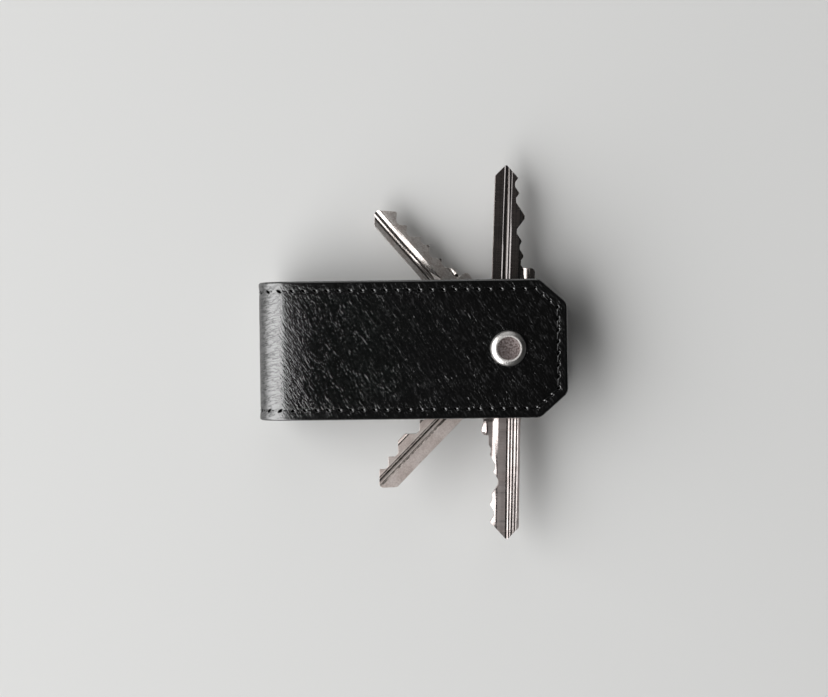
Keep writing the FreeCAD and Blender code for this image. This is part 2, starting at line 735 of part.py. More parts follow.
def make_key(name, level):
    """One key of the stack, with its bow, shoulder, grooved blade and cuts."""
    body = new_body(name)
    plan = KeyPlan(name)
    add_bow(body, plan)
    add_shoulder(body, plan)
    add_blade(body, plan)
    hole = new_sketch(body, "hole", "XY_Plane")
    draw_circle(hole, "0", "0", HOLE_RADIUS)
    cut_through(body, hole)
    cut_bitting(body, plan)
    for face, sign, grooves in (("front", "", FRONT_GROOVE_SHARES), ("back", "-", BACK_GROOVE_SHARES)):
        for index, shares in enumerate(grooves[name], start=1):
            mill_groove(body, plan, f"{face}_groove_{index}", sign, shares)
    body.Placement.Rotation = FreeCAD.Rotation(FreeCAD.Vector(0, 0, 1), 1)
    body.setExpression("Placement.Rotation.Angle", f"{plan.own}angle")
    height = f"{STACK_Z} + dims.washer_thickness + dims.stack_play + dims.key_thickness / 2"
    place(body, POST_X, MIDDLE_Y, f"{height} + {level} * {KEY_PITCH}")
    return body


def make_pieces():
    """Every sub-part of the key case."""
    cover_channel, lining_channel = "dims.cover_channel_depth", "dims.lining_channel_depth"
    pieces = [
        make_folded_strip("outer_cover", OUTER_RADIUS, SEAM_RADIUS, cover_channel, outside=True),
        make_folded_strip("inner_lining", SEAM_RADIUS, INNER_RADIUS, lining_channel, outside=False),
        make_thread("needle_thread", f"({OUTER_RADIUS} - {cover_channel})", 1),
        make_thread("bobbin_thread", f"({INNER_RADIUS} + {lining_channel})", -1),
        make_post_barrel(),
        make_post_screw(),
    ]
    pieces += [make_washer(index) for index in range(len(KEYS) + 1)]
    pieces += [make_key(name, level) for level, name in enumerate(KEYS)]
    return pieces


pieces = make_pieces()
doc.recompute()

failed = [item.Name for item in doc.Objects if {"Invalid", "Error"} & set(item.State)]
failed += [piece.Name for piece in pieces if piece.Shape.isNull() or not piece.Shape.isValid()]
if failed:
    raise RuntimeError("these did not build: " + ", ".join(failed))

os.makedirs("parts", exist_ok=True)
for piece in pieces:
    piece.Shape.exportStep(f"parts/{piece.Label}.step")
    print(f"{piece.Label}: {len(piece.Shape.Solids)} solids, {piece.Shape.Volume:.2f} cubic millimetres")
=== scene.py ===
"""The looks of a folded leather key case that holds four keys on one post."""
import math
from typing import NamedTuple

import bmesh
import bpy
from mathutils import Matrix, Vector, noise


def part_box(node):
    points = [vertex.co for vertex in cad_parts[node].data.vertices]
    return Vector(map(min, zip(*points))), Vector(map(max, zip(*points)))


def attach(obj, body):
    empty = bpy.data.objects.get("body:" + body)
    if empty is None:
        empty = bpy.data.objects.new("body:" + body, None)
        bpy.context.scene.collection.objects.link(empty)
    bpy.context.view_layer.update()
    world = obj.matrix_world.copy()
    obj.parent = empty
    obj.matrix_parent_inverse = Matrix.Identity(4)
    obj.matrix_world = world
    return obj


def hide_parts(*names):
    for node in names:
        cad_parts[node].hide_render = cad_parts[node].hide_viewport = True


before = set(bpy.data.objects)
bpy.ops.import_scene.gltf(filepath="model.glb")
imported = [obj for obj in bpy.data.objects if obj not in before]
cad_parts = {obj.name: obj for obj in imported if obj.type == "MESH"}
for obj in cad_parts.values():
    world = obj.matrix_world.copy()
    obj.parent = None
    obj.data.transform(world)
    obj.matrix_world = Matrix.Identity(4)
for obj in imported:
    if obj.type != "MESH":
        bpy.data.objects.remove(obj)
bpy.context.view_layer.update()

# Pieces are modelled in millimetres, in the frame's axes, and scaled to metres when they are finished.
MM = 0.001


def box_in_mm(node):
    """The lowest and highest corner of a CAD node, in millimetres."""
    low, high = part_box(node)
    return low / MM, high / MM


# Sizes read from the frame
cover_low, cover_high = box_in_mm("outer_cover")
lining_low, lining_high = box_in_mm("inner_lining")
first_washer_low, first_washer_high = box_in_mm("washer_1")
barrel_low, barrel_high = box_in_mm("post_barrel")
OUTER_RADIUS = (cover_high.z - cover_low.z) / 2
SEAM_RADIUS = (lining_high.z - lining_low.z) / 2
FOLD_X = cover_low.x + OUTER_RADIUS
FOLD_Z = (cover_high.z + cover_low.z) / 2
INNER_RADIUS = FOLD_Z - first_washer_low.z
PANEL_LENGTH = cover_high.x - FOLD_X
HALF_WIDTH = (cover_high.y - cover_low.y) / 2
MIDDLE_Y = (cover_high.y + cover_low.y) / 2
POST_X = (barrel_low.x + barrel_high.x) / 2
POST = Vector((POST_X, MIDDLE_Y, 0))
FRONT_FACE_Z = cover_high.z

# Leather strip: sizes in millimetres, angles in radians
CORNER_CUT_LENGTH = 7.6
CORNER_CUT_WIDTH = 6.6
CORNER_RADIUS = 3.0
COVER_RIM = 0.62
LINING_RIM = 0.3
POST_HOLE_RADIUS = 3.1
HEAD_PRINT_RADIUS = 6.2
HEAD_PRINT_DEPTH = 0.12
FOLD_STRETCH = 1.14
EASE_ANGLE = 0.085
EASE_LENGTH = 4.8
MARGIN_FLARE = 0.1
FLARE_START = 0.6
SWELL_HEIGHT = 0.05
SWELL_LENGTH = 7.0

# Shares of the fold's half length between which it passes into a panel
BEND_START = 0.45
BEND_END = 0.95

# Steps of the leather's grid: over the fold, over the panels, and in the band along the edge
EDGE_BAND = 4.4
COVER_COLUMN_STEPS = (0.4, 0.5, 0.3)
COVER_ROW_STEPS = (0.46, 0.28)
LINING_COLUMN_STEPS = (0.6, 0.9, 0.4)
LINING_ROW_STEPS = (0.8, 0.35)
RIM_STEPS = 5

# Look of the leather: slants in degrees on the flat strip, colours with the lighter colour of its painted
# glints, and the gloss of its wax
GRAIN_SLANT = -57
CREASE_SLANT = -56
LONG_CREASE_SLANT = -55
WRINKLE_SLANT = 12
COVER_COLOUR = (0.001, 0.001, 0.001)
PAINTED_GLINT_COLOUR = (0.026, 0.026, 0.0265)
LINING_COLOURS = [(0.008, 0.0078, 0.0075), (0.014, 0.0135, 0.013)]
WAX = {"Specular_IOR_Level": 1.0, "IOR": 1.75}

# Seam
SEAM_MARGIN = 2.67
STITCH_PITCH = 3.12
STITCH_TILT = 0.14
STITCH_SEGMENTS = 9
THREAD_WIDTH = 0.6
THREAD_HEIGHT = 0.5
THREAD_SIDES = 6
THREAD_BLUNTNESS = 9
THREAD_PROUD = 0.08
THREAD_PLUNGE = 0.6
PLUNGE_SHARPNESS = 5
THREAD_LEAN = 0.26
THREAD_TWISTS = 4
THREAD_COLOURS = [(0.001, 0.001, 0.001), (0.004, 0.004, 0.0042)]
CHANNEL_WIDTH = 0.62
COVER_CHANNEL_DEPTH = 0.1
LINING_CHANNEL_DEPTH = 0.12
PRICK_LENGTH = 0.85
PRICK_WIDTH = 0.45
PRICK_SLANT = 35.0

# Post, screw and washers
POST_RADIUS = 3.0
BORE_RADIUS = 2.05
BORE_TOP_SHARE = 0.62
HEAD_RADIUS = 4.75
HEAD_SHOULDER_RADIUS = 3.75
HEAD_CROWN_RADIUS = 4.5
HEAD_LIP_RADIUS = 3.4
HEAD_FACE_RADIUS = 3.15
HEAD_RIM_HEIGHT = 0.5
HEAD_LIP_DROP = 0.1
HEAD_CROWN_DROP = 0.52
HEAD_FACE_RECESS = 0.06
TURNED_EDGE = 0.12
TURNED_ANGLE = 15.0
TURN_STEPS = 96
SCREW_ANGLE = 18.0
WASHER_EDGE = 0.08
FACE_COLOURS = [(0.24, 0.19, 0.18), (0.46, 0.395, 0.385)]
NICKEL_COLOURS = [(0.66, 0.64, 0.62), (0.74, 0.72, 0.7)]
NYLON_COLOURS = [(0.012, 0.012, 0.012), (0.02, 0.02, 0.02)]


class KeyLook(NamedTuple):
    """Which way a key points, in degrees, and the strengths of what marks its metal and of the painted
    shade on its flanks and in its grooves.
    """

    angle: float
    colour: tuple
    roughness: float
    grain: float
    cross_marks: float
    spots: float
    groove_shade: float
    groove_shade_depth: float
    flank_shade: float
    spine_flank_shade: float


KEYS = {
    "key_up_left": KeyLook(
        angle=131.0, colour=(0.74, 0.71, 0.68), roughness=0.42, grain=0.9, cross_marks=0.1,
        spots=0.1, groove_shade=0.2, groove_shade_depth=0.1, flank_shade=0.0, spine_flank_shade=0.0,
    ),
    "key_up": KeyLook(
        angle=87.4, colour=(0.48, 0.43, 0.41), roughness=0.26, grain=0.25, cross_marks=0.25,
        spots=0.2, groove_shade=0.9, groove_shade_depth=0.1, flank_shade=1.0, spine_flank_shade=0.75,
    ),
    "key_down": KeyLook(
        angle=268.4, colour=(0.66, 0.595, 0.575), roughness=0.45, grain=0.2, cross_marks=1.5,
        spots=0.05, groove_shade=0.9, groove_shade_depth=0.1, flank_shade=0.4, spine_flank_shade=0.0,
    ),
    "key_down_left": KeyLook(
        angle=225.4, colour=(0.86, 0.775, 0.735), roughness=0.5, grain=0.5, cross_marks=0.1,
        spots=1.0, groove_shade=0.9, groove_shade_depth=-0.1, flank_shade=0.0, spine_flank_shade=0.0,
    ),
}

# Marks and painted shade on the keys: their sizes in metres, their colours, and places across a key in
# millimetres
GROUND_MARK = (0.03, 0.00035, 0.0004)
CROSS_MARK = (0.012, 0.00025, 0.0004)
DULL_SHARES = (0.6, 0.55, 0.53)
GROOVE_SHADE_COLOUR = (0.045, 0.036, 0.03)
GROOVE_SHADE_SPREAD = 0.25
FLANK_SHADE_COLOUR = (0.2, 0.187, 0.185)
FLANK_SHADE_EDGE = -3.8
SPINE_START = 2.2
MASK_BLUR = 0.2

# Shoulders of the keys: how far along a key from its post, across it, and below its front
SUNK_STRIPS = {
    "key_up_left": {"reach": (23.4, 26.9), "aside": (-4.2, -3.3), "depth": 1.0},
    "key_down": {"reach": (20.4, 23.4), "aside": (-9.0, -6.1), "depth": 0.75},
}
FRONT_SPLITS = {"key_up_left": {"reach": (23.1, 23.5), "aside": (-2.67,)}}
UP_RAMP = [(-3.8, 0.5), (-4.9, 0.0), (-5.6, 0.0), (-5.6, 0.5)]
SHOULDER_RAMPS = {
    "key_up_left": [
        (23.5, [(-2.6, 0.4), (-3.8, 0.25), (-3.8, 1.1)]),
        (24.4, [(-2.6, 0.35), (-3.8, 0.05), (-3.8, 1.1)]),
        (26.6, [(-2.3, 0.87), (-3.45, 0.58), (-3.5, 1.1)]),
    ],
    "key_up": [(17.5, UP_RAMP), (22.1, UP_RAMP)],
    "key_down": [
        (19.8, [(-5.9, 0.8), (-5.3, 0.4), (-5.1, 0.8)]),
        (21.7, [(-6.45, 0.8), (-5.2, 0.1), (-5.0, 0.8)]),
        (22.6, [(-6.45, 0.8), (-5.2, 0.05), (-5.0, 0.8)]),
        (23.35, [(-5.85, 0.8), (-5.3, 0.35), (-5.0, 0.8)]),
    ],
}

# Facets of the keys: the widest groove wall, the upward share of a flank's normal, and angles in degrees
GROOVE_WALL = 0.8
FLANK_LEAST = 0.2
FLANK_MOST = 0.985
FACET_ANGLE = 6.0
FLAT_ANGLE = 0.5
WELD = 0.001

# Rounded edges of the keys
KEY_EDGE = 0.1
EDGE_SEGMENTS = 2
RIM_ANGLE = 50.0
KEY_CORNER = 0.3
ROUND_SEGMENTS = 3
CORNER_ANGLE = 20.0
UPRIGHT_SHARE = 0.95

# Camera, as the photograph was taken: its place in millimetres and its turn in degrees
CAMERA_LENS = 62.0
CAMERA_SENSOR = 36.0
CAMERA_PLACE = (0.46, 1.13, 398.0)
CAMERA_TURN = -0.7

# Stage, in metres
FLOOR_SIZE = 4
FLOOR_COLOUR = (0.74, 0.74, 0.73)
FLOOR_ROUGHNESS = 0.9
ROOM_COLOUR = (0.012, 0.012, 0.012)
SOFTBOXES = {
    "left_softbox": {"place": (-1.72, -0.46, 1.08), "width": 4.2, "height": 2.6, "radiance": 3.8},
    "top_softbox": {"place": (0.0, 1.75, 1.0), "width": 1.4, "height": 2.1, "radiance": 0.6},
}


def colour(parts):
    """Red, green and blue as a socket takes them."""
    return (*parts, 1.0)


class Value:
    """A shader socket that adds Math nodes when it is used in an expression."""

    def __init__(self, finish, socket):
        self.finish = finish
        self.socket = socket

    def math(self, operation, *numbers):
        sockets = dict(enumerate(numbers))
        return self.finish.node("ShaderNodeMath", {"operation": operation}, sockets)

    def __add__(self, other):
        return self.math("ADD", self, other)

    __radd__ = __add__

    def __sub__(self, other):
        return self.math("SUBTRACT", self, other)

    def __rsub__(self, other):
        return self.math("SUBTRACT", other, self)

    def __mul__(self, other):
        return self.math("MULTIPLY", self, other)

    __rmul__ = __mul__

    def __pow__(self, other):
        return self.math("POWER", self, other)

    def __abs__(self):
        return self.math("ABSOLUTE", self)

    def sine(self):
        return self.math("SINE", self)

    def fraction(self):
        return self.math("FRACT", self)

    def largest(self, other):
        return self.math("MAXIMUM", self, other)


class Finish:
    """A material under construction."""

    def __init__(self, name):
        self.material = bpy.data.materials.new(name)
        self.material.use_nodes = True
        self.tree = self.material.node_tree
        self.tree.nodes.clear()

    @staticmethod
    def find(sockets, key):
        if isinstance(key, int):
            return sockets[key]
        return next(socket for socket in sockets if key in (socket.identifier, socket.name))

    def node(self, kind, settings=None, sockets=None, output=0):
        """Add a node with its settings, then the values or links of its sockets."""
        node = self.tree.nodes.new(kind)
        for name, setting in (settings or {}).items():
            setattr(node, name, setting)
        for key, given in (sockets or {}).items():
            socket = self.find(node.inputs, key)
            if isinstance(given, Value):
                self.tree.links.new(given.socket, socket)
            else:
                socket.default_value = given
        return Value(self, self.find(node.outputs, output)) if node.outputs else node

    def noise(self, vector, scale, detail=2.0, output="Fac"):
        sockets = {"Vector": vector, "Scale": scale, "Detail": detail}
        return self.node("ShaderNodeTexNoise", {}, sockets, output)

    def attribute(self, name):
        return self.node("ShaderNodeAttribute", {"attribute_name": name}, {}, "Fac")

    def step(self, value, low, high):
        """A smooth step from 0 to 1 as a value passes from low to high."""
        sockets = {"Value": value, "From Min": low, "From Max": high}
        return self.node("ShaderNodeMapRange", {"interpolation_type": "SMOOTHSTEP"}, sockets, "Result")

    def stretch(self, vector, angle, scale):
        """Coordinates whose pattern is drawn out along a direction, in degrees."""
        sockets = {"Vector": vector, "Rotation": (0, 0, math.radians(angle)), "Scale": scale}
        return self.node("ShaderNodeMapping", {"vector_type": "TEXTURE"}, sockets)

    def vector(self, operation, *vectors, output=0):
        return self.node("ShaderNodeVectorMath", {"operation": operation}, dict(enumerate(vectors)), output)

    def part(self, vector, axis):
        return self.node("ShaderNodeSeparateXYZ", {}, {"Vector": vector}, axis)

    def shift(self, vector, offset, amount):
        """Coordinates pushed about by a colour noise."""
        return self.vector("MULTIPLY_ADD", offset, (amount,) * 3, vector)

    def mix(self, factor, *colours):
        """A blend of two colours, each a socket or red, green and blue."""
        first, second = (given if isinstance(given, Value) else colour(given) for given in colours)
        sockets = {"Factor_Float": factor, "A_Color": first, "B_Color": second}
        return self.node("ShaderNodeMix", {"data_type": "RGBA"}, sockets, "Result_Color")

    def bump(self, height, depth):
        """A normal from a height of 0 to 1 that stands for a depth in millimetres."""
        return self.node("ShaderNodeBump", {}, {"Height": height, "Distance": depth * MM}, "Normal")

    def surface(self, **sockets):
        """The shader, by the names of its sockets with _ for spaces."""
        named = {key.replace("_", " "): given for key, given in sockets.items()}
        shader = self.node("ShaderNodeBsdfPrincipled", {}, named, "BSDF")
        self.node("ShaderNodeOutputMaterial", {}, {"Surface": shader})
        return self.material


def pricked_holes(finish):
    """1 in the pricked holes of the seam, and 0 elsewhere."""
    off_seam = finish.attribute("seam")
    to_hole = ((finish.attribute("stitch") + 0.5).fraction() - 0.5) * STITCH_PITCH
    slant = math.radians(PRICK_SLANT)
    along = (to_hole * math.cos(slant) + off_seam * math.sin(slant)) * (1 / PRICK_LENGTH)
    aside = (off_seam * math.cos(slant) - to_hole * math.sin(slant)) * (1 / PRICK_WIDTH)
    return 1 - finish.step(along * along + aside * aside, 0.3, 1.0)


def grained_leather():
    """Black milled leather: slanting grain and creases with painted glints along them, level wrinkles on
    the fold with painted shade in them and in the pricked holes, a painted rim.
    """
    finish = Finish("grained_leather")
    flat = finish.node("ShaderNodeUVMap", {"uv_map": "strip"})
    rim = finish.attribute("rim")
    bend = finish.attribute("bend")
    ease = finish.attribute("ease")
    holes = pricked_holes(finish)
    drift = finish.noise(flat, 0.3, 2.0, "Color")
    swayed = finish.shift(flat, drift, 0.8)
    calm = finish.shift(flat, drift, 0.5)

    def drawn_out(start, slant, ratio, scale, detail=1.0):
        return finish.noise(finish.stretch(start, slant, (ratio, 1.0, 1.0)), scale, detail)

    def creases(start, slant, ratio, scale, sharpness):
        return (1 - abs(drawn_out(start, slant, ratio, scale) * 2 - 1)) ** sharpness

    edge = {"feature": "DISTANCE_TO_EDGE"}
    slanted = finish.stretch(swayed, CREASE_SLANT, (1.8, 1.0, 1.0))
    pebbles = finish.node("ShaderNodeTexVoronoi", edge, {"Vector": slanted, "Scale": 2.3}, "Distance")
    cells = finish.step(pebbles, 0.0, 0.3)
    patches = finish.step(finish.noise(flat, 0.16, 1.0), 0.4, 0.62)
    worn = finish.noise(flat, 0.3, 2.0)
    fine = finish.noise(flat, 5.0, 2.0)
    grain = drawn_out(swayed, GRAIN_SLANT, 5.0, 2.6, 2.0)
    bands = finish.step(drawn_out(swayed, GRAIN_SLANT, 7.0, 0.55), 0.36, 0.64)
    streaks = finish.step(drawn_out(swayed, CREASE_SLANT, 4.0, 2.0, 3.0), 0.54, 0.7)
    short_creases = creases(swayed, CREASE_SLANT, 4.0, 1.7, 4) * (worn * 0.4 + 0.2)
    long_creases = creases(swayed, LONG_CREASE_SLANT, 8.0, 0.6, 16) * (patches * 0.4 + 0.1)
    panel = short_creases + long_creases + grain * (bands + 1.6)
    hollows = panel * (1 - bend) + creases(calm, WRINKLE_SLANT, 4.0, 1.6, 5) * bend
    shaded_wrinkles = creases(calm, WRINKLE_SLANT, 4.5, 1.6, 9) * bend * 0.7
    # Lighter streaks in the base colour along the creases, denser in bands, are painted glints; none on the
    # fold, the rim or the holes.
    painted_glints = streaks * (bands * 0.9 + 0.4) * (1 - bend) * (1 - rim) * (1 - holes)
    pebbled = cells * (0.03 + ease * 0.12)
    height = (pebbled - hollows * 0.6 + fine * 0.06) * (1 - rim * 0.92) - holes * 2
    rough = 0.15 + ease * ease * 0.08 + finish.step(bend, 0.8, 1.0) * 0.1
    return finish.surface(
        Base_Color=finish.mix(painted_glints, COVER_COLOUR, PAINTED_GLINT_COLOUR),
        Roughness=rough + (1 - cells) * 0.04 + holes * 0.5,
        # Metallic on the black base takes the gloss out of the pricked holes and the fold's wrinkles:
        # painted shade in them.
        Metallic=holes.largest(shaded_wrinkles),
        Normal=finish.bump(height, 0.06),
        **WAX,
    )


def smooth_leather():
    """Matt black lining leather with a fine nap."""
    finish = Finish("smooth_leather")
    flat = finish.node("ShaderNodeUVMap", {"uv_map": "strip"})
    nap = finish.noise(flat, 4.0, 4.0)
    cloud = finish.noise(flat, 0.3, 2.0)
    return finish.surface(
        Base_Color=finish.mix(cloud, *LINING_COLOURS),
        Roughness=0.62 + cloud * 0.15,
        Normal=finish.bump(nap, 0.05),
    )


def waxed_thread():
    """Black twisted sewing thread, bright where it comes up out of its hole, darkened by painted shade over
    the rest of the stitch.
    """
    finish = Finish("waxed_thread")
    twist = finish.node("ShaderNodeUVMap", {"uv_map": "twist"})
    along = finish.part(twist, "X")
    around = finish.part(twist, "Y")
    plies = (along * (THREAD_TWISTS * math.tau) + around * math.tau).sine() * 0.5 + 0.5
    fibres = finish.noise(twist, 22.0, 2.0)
    return finish.surface(
        Base_Color=finish.mix(plies, *THREAD_COLOURS),
        Roughness=0.34 - plies * 0.12,
        # Metallic on the black base dulls the stitch except at its left end: painted shade that leaves only
        # that end bright.
        Metallic=finish.step(along, -0.75, -0.3) * 0.8,
        Normal=finish.bump(plies * 0.8 + fibres * 0.2, 0.03),
        **WAX,
    )


def key_metal(name):
    """Nickel plated brass: marks along and across the blade, a grain, and painted shade on the flanks and
    in the grooves.
    """
    look = KEYS[name]
    finish = Finish(f"{name}_nickel")
    place = finish.node("ShaderNodeTexCoord", {}, {}, "Object")
    flank = finish.attribute("flank")
    groove = finish.attribute("groove")
    low, high = box_in_mm(name)
    way, side = key_ways(name)
    level = finish.part(place, "Z") * (1 / MM)
    depth = (high.z - low.z) / 2 - abs(level - (high.z + low.z) / 2)
    aside = finish.vector("DOT_PRODUCT", place, side, output="Value") * (1 / MM) - POST.dot(side)
    ground = finish.noise(finish.stretch(place, look.angle, GROUND_MARK), 1.0, 3.0)
    across = finish.noise(finish.stretch(place, look.angle + 90, CROSS_MARK), 1.0, 2.0)
    cloud = finish.noise(place, 260.0, 3.0)
    grain = finish.noise(place, 2600.0, 2.0)
    spots = finish.step(finish.noise(place, 1500.0, 3.0), 0.3, 0.55)
    marks = (across - 0.5) * look.cross_marks
    worn = finish.step(cloud, 0.35, 0.7) * 0.5 + finish.step(grain, 0.35, 0.65) * look.grain * 0.7
    dull = [part * share for part, share in zip(look.colour, DULL_SHARES)]
    plate = finish.mix(worn + marks, look.colour, dull)
    # Painted shade: the flanks are darkened towards a duller colour from a line across the key towards its
    # spine.
    flank_shade = flank * finish.step(aside, FLANK_SHADE_EDGE - MASK_BLUR, FLANK_SHADE_EDGE + MASK_BLUR) * look.flank_shade
    # Painted shade: groove walls darken with their depth below the key's faces and in speckles, and flanks
    # near the spine darken too.
    deep_shade = finish.step(depth, look.groove_shade_depth, look.groove_shade_depth + GROOVE_SHADE_SPREAD) * look.groove_shade
    spine = finish.step(aside, SPINE_START - MASK_BLUR, SPINE_START + MASK_BLUR) * look.spine_flank_shade
    groove_shade = (groove * deep_shade).largest(groove * spots * look.spots).largest(flank * spine)
    relief = ground * 0.35 + grain * look.grain + across * look.cross_marks
    rough = look.roughness * (1 - flank * 0.4) + (ground - 0.5) * 0.12
    return finish.surface(
        Base_Color=finish.mix(groove_shade, finish.mix(flank_shade, plate, FLANK_SHADE_COLOUR), GROOVE_SHADE_COLOUR),
        Metallic=1 - groove_shade * 0.6,
        Roughness=rough + (cloud - 0.5) * 0.12 + marks * 0.3,
        Normal=finish.bump(relief, 0.012),
    )


def turned_nickel():
    """Satin nickel of the post, with a warmer mottled face inside its lip."""
    finish = Finish("turned_nickel")
    place = finish.node("ShaderNodeTexCoord", {}, {}, "Object")
    plan = finish.vector("MULTIPLY", place, (1, 1, 0))
    radius = finish.vector("DISTANCE", plan, POST * MM, output="Value")
    inside = 1 - finish.step(radius, (HEAD_FACE_RADIUS - 0.15) * MM, (HEAD_FACE_RADIUS + 0.05) * MM)
    face = inside * finish.step(finish.part(place, "Z"), FOLD_Z * MM, FRONT_FACE_Z * MM)
    outside = finish.step(radius, HEAD_LIP_RADIUS * MM, (HEAD_SHOULDER_RADIUS - 0.05) * MM)
    lip = (1 - inside) * (1 - outside)
    mottle = finish.step(finish.noise(place, 2000.0, 3.0), 0.34, 0.66)
    cloud = finish.noise(place, 700.0, 2.0)
    return finish.surface(
        Base_Color=finish.mix(face, finish.mix(cloud, *NICKEL_COLOURS), finish.mix(mottle, *FACE_COLOURS)),
        Metallic=1.0,
        Roughness=0.38 + (mottle - 0.5) * 0.06 + face * 0.08 + lip * 0.3,
        Normal=finish.bump(mottle, 0.02),
    )


def moulded_nylon():
    """Black nylon of the washers."""
    finish = Finish("moulded_nylon")
    place = finish.node("ShaderNodeTexCoord", {}, {}, "Object")
    haze = finish.noise(place, 900.0, 2.0)
    return finish.surface(
        Base_Color=finish.mix(haze, *NYLON_COLOURS),
        Roughness=0.4 + haze * 0.2,
        Normal=finish.bump(haze, 0.01),
    )


def finish_piece(name, bm, material, body, slot, *nodes):
    """Make a bmesh a piece of the object that rides on a body and stands for CAD nodes."""
    mesh = bpy.data.meshes.new(name)
    bm.to_mesh(mesh)
    bm.free()
    mesh.materials.append(material)
    mesh.shade_smooth()
    piece = bpy.data.objects.new(name, mesh)
    bpy.context.scene.collection.objects.link(piece)
    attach(piece, body)
    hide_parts(*nodes)
    return piece


# The strip laid flat: u runs along it from the middle of the fold, over the front panel where it is
# positive, and y runs across it.

FOLD_HALF = math.pi / 2 * OUTER_RADIUS
STRIP_HALF = FOLD_HALF + PANEL_LENGTH
SIDE_WAY = Vector((0, 1))
SLANT_WAY = Vector((CORNER_CUT_WIDTH, CORNER_CUT_LENGTH)).normalized()
END_WAY = Vector((1, 0))
SIDE_CORNER = Vector((STRIP_HALF - CORNER_CUT_LENGTH, HALF_WIDTH))
END_CORNER = Vector((STRIP_HALF, HALF_WIDTH - CORNER_CUT_WIDTH))
FOLD_RADIUS = OUTER_RADIUS - EASE_ANGLE * EASE_LENGTH
EASE_TURN = math.atan(1 / (FOLD_STRETCH * math.tan(EASE_ANGLE)))
EASE_START = FOLD_RADIUS * EASE_TURN
EASE_X = cover_low.x + FOLD_STRETCH * FOLD_RADIUS * (1 - math.cos(EASE_TURN))
EASE_RISE = FOLD_RADIUS * math.sin(EASE_TURN)
PANEL_STRETCH = (cover_high.x - EASE_X) / (STRIP_HALF - EASE_START)
POST_U = EASE_START + (POST_X - EASE_X) / PANEL_STRETCH


def round_corner(corner, before, after):
    """The centre of a corner's rounding, with the ways that the edges beside it face."""
    return corner - (before + after) * (CORNER_RADIUS / (1 + before.dot(after))), before, after


ROUND_CORNERS = [
    round_corner(SIDE_CORNER, SIDE_WAY, SLANT_WAY),
    round_corner(END_CORNER, SLANT_WAY, END_WAY),
]


def turns_left(first, second):
    return first.x * second.y - first.y * second.x > 0


def inset(u, y):
    """How far in from the strip's outline a point lies."""
    point = Vector((abs(u), abs(y)))
    for centre, before, after in ROUND_CORNERS:
        arm = point - centre
        if not turns_left(before, arm) and not turns_left(arm, after):
            return CORNER_RADIUS - arm.length
    return min(HALF_WIDTH - point.y, STRIP_HALF - point.x, (SIDE_CORNER - point).dot(SLANT_WAY))


def half_width(u):
    """Half the strip's width at a place along it."""
    along = abs(u)
    width = min(HALF_WIDTH, (SIDE_CORNER.dot(SLANT_WAY) - SLANT_WAY.x * along) / SLANT_WAY.y)
    for centre, before, after in ROUND_CORNERS:
        if centre.x + before.x * CORNER_RADIUS <= along <= centre.x + after.x * CORNER_RADIUS:
            width = centre.y + math.sqrt(max(0, CORNER_RADIUS ** 2 - (along - centre.x) ** 2))
    return width


def slope(u):
    """How steeply the outer face climbs at a place along the strip, in radians."""
    past = abs(u) - EASE_START
    if past < 0:
        turn = abs(u) / FOLD_RADIUS
        return math.atan2(math.cos(turn), FOLD_STRETCH * math.sin(turn))
    return EASE_ANGLE * math.exp(-past / EASE_LENGTH)


def out_of(u):
    """The way that the strip's outer face points."""
    return Vector((-math.sin(slope(u)), 0, math.copysign(math.cos(slope(u)), u)))


def fold_over(u, y, radius):
    """Where a point of the flat strip comes to lie on the folded one, at a radius from the fold's axis."""
    past = abs(u) - EASE_START
    if past < 0:
        x = cover_low.x + FOLD_STRETCH * FOLD_RADIUS * (1 - math.cos(u / FOLD_RADIUS))
        rise = FOLD_RADIUS * math.sin(abs(u) / FOLD_RADIUS)
    else:
        x = EASE_X + past * PANEL_STRETCH
        rise = OUTER_RADIUS - (OUTER_RADIUS - EASE_RISE) * math.exp(-past / EASE_LENGTH)
    face = Vector((x, MIDDLE_Y + y, FOLD_Z + math.copysign(rise, u)))
    return face + out_of(u) * (radius - OUTER_RADIUS)


def evenly(start, end, step):
    """Stations from a start up to, and without, an end."""
    count = max(1, round((end - start) / step))
    return [start + (end - start) * i / count for i in range(count)]


def rounded_stations(end, rim):
    """Stations over a rounded rim, closer together towards its edge."""
    turns = [math.pi / 2 * i / RIM_STEPS for i in range(RIM_STEPS + 1)]
    return [end - rim * (1 - math.sin(turn)) for turn in turns]


def stations(starts, steps, end, rim):
    """Stations on both sides of zero, in steps that change at each start, with a rounded rim at the end."""
    half = []
    for start, stop, step in zip(starts, starts[1:] + [end], steps):
        half += evenly(start, stop, step)
    half = [value for value in half if value < end - rim * 1.2] + rounded_stations(end, rim)
    return [-value for value in half[:0:-1]] + half


def seam_runs():
    """The straight runs of the seam on the flat strip: their ends, and the stitches before and in each."""
    side = HALF_WIDTH - SEAM_MARGIN
    tip = STRIP_HALF - SEAM_MARGIN
    slant = SIDE_CORNER.dot(SLANT_WAY) - SEAM_MARGIN
    first = ((slant - SLANT_WAY.y * side) / SLANT_WAY.x, side)
    second = (tip, (slant - SLANT_WAY.x * tip) / SLANT_WAY.y)
    upper = [(FOLD_HALF, side), first, second]
    loop = upper + [(u, -y) for u, y in reversed(upper)]
    fold_count = round(2 * FOLD_HALF / STITCH_PITCH)
    runs = []
    for sign, before in ((1, fold_count), (-1, 0)):
        points = [Vector((sign * u, y)) for u, y in loop]
        for start, end in zip(points, points[1:]):
            count = round((end - start).length / STITCH_PITCH)
            runs.append((start, end, before, count))
            before += count
    for y, first_stitch in ((side, 0), (-side, before)):
        runs.append((Vector((-FOLD_HALF, y)), Vector((FOLD_HALF, y)), first_stitch, fold_count))
    return runs


SEAM_RUNS = seam_runs()


